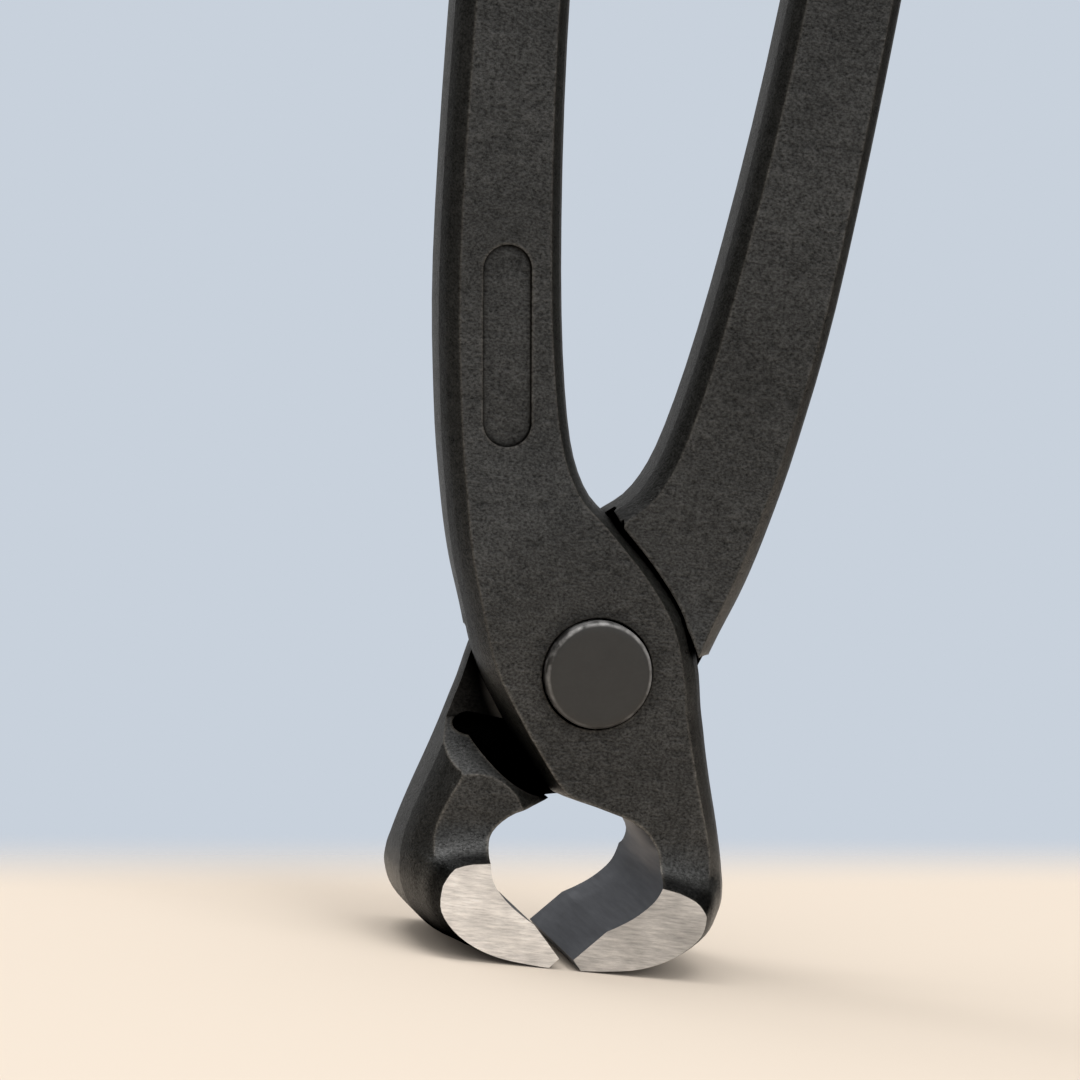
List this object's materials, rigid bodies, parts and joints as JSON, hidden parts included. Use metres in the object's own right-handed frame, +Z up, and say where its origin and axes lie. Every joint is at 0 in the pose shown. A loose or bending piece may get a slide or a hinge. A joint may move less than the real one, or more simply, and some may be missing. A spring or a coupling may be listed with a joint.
{
  "type": "end cutting nippers",
  "caption": "Forged end cutting nippers with crossed black levers, a riveted lap joint, ground jaw faces and long bare handles for tying and cutting wire.",
  "frame": {"origin": "under the middle of the cutting edges, on the surface that the jaws stand on", "axes": "+Z up the handles, +Y along the rivet away from the front, +X to the right seen from the front"},
  "size_m": [0.051, 0.021, 0.2495],
  "materials": {
    "forged_lever": "black oxide on forged steel, jaw faces ground bright",
    "rivet_steel": "dark satin with a worn rim"
  },
  "bodies": {
    "front": {"front_lever": "forged_lever", "rivet": "rivet_steel"},
    "rear": {"rear_lever": "forged_lever"}
  },
  "joints": [
    {"name": "rivet_hinge", "type": "hinge", "parent": "front", "child": "rear", "pos_m": [0, 0, 0.02987], "axis": [0, 1, 0], "range_deg": [-2.8, 22]}
  ]
}
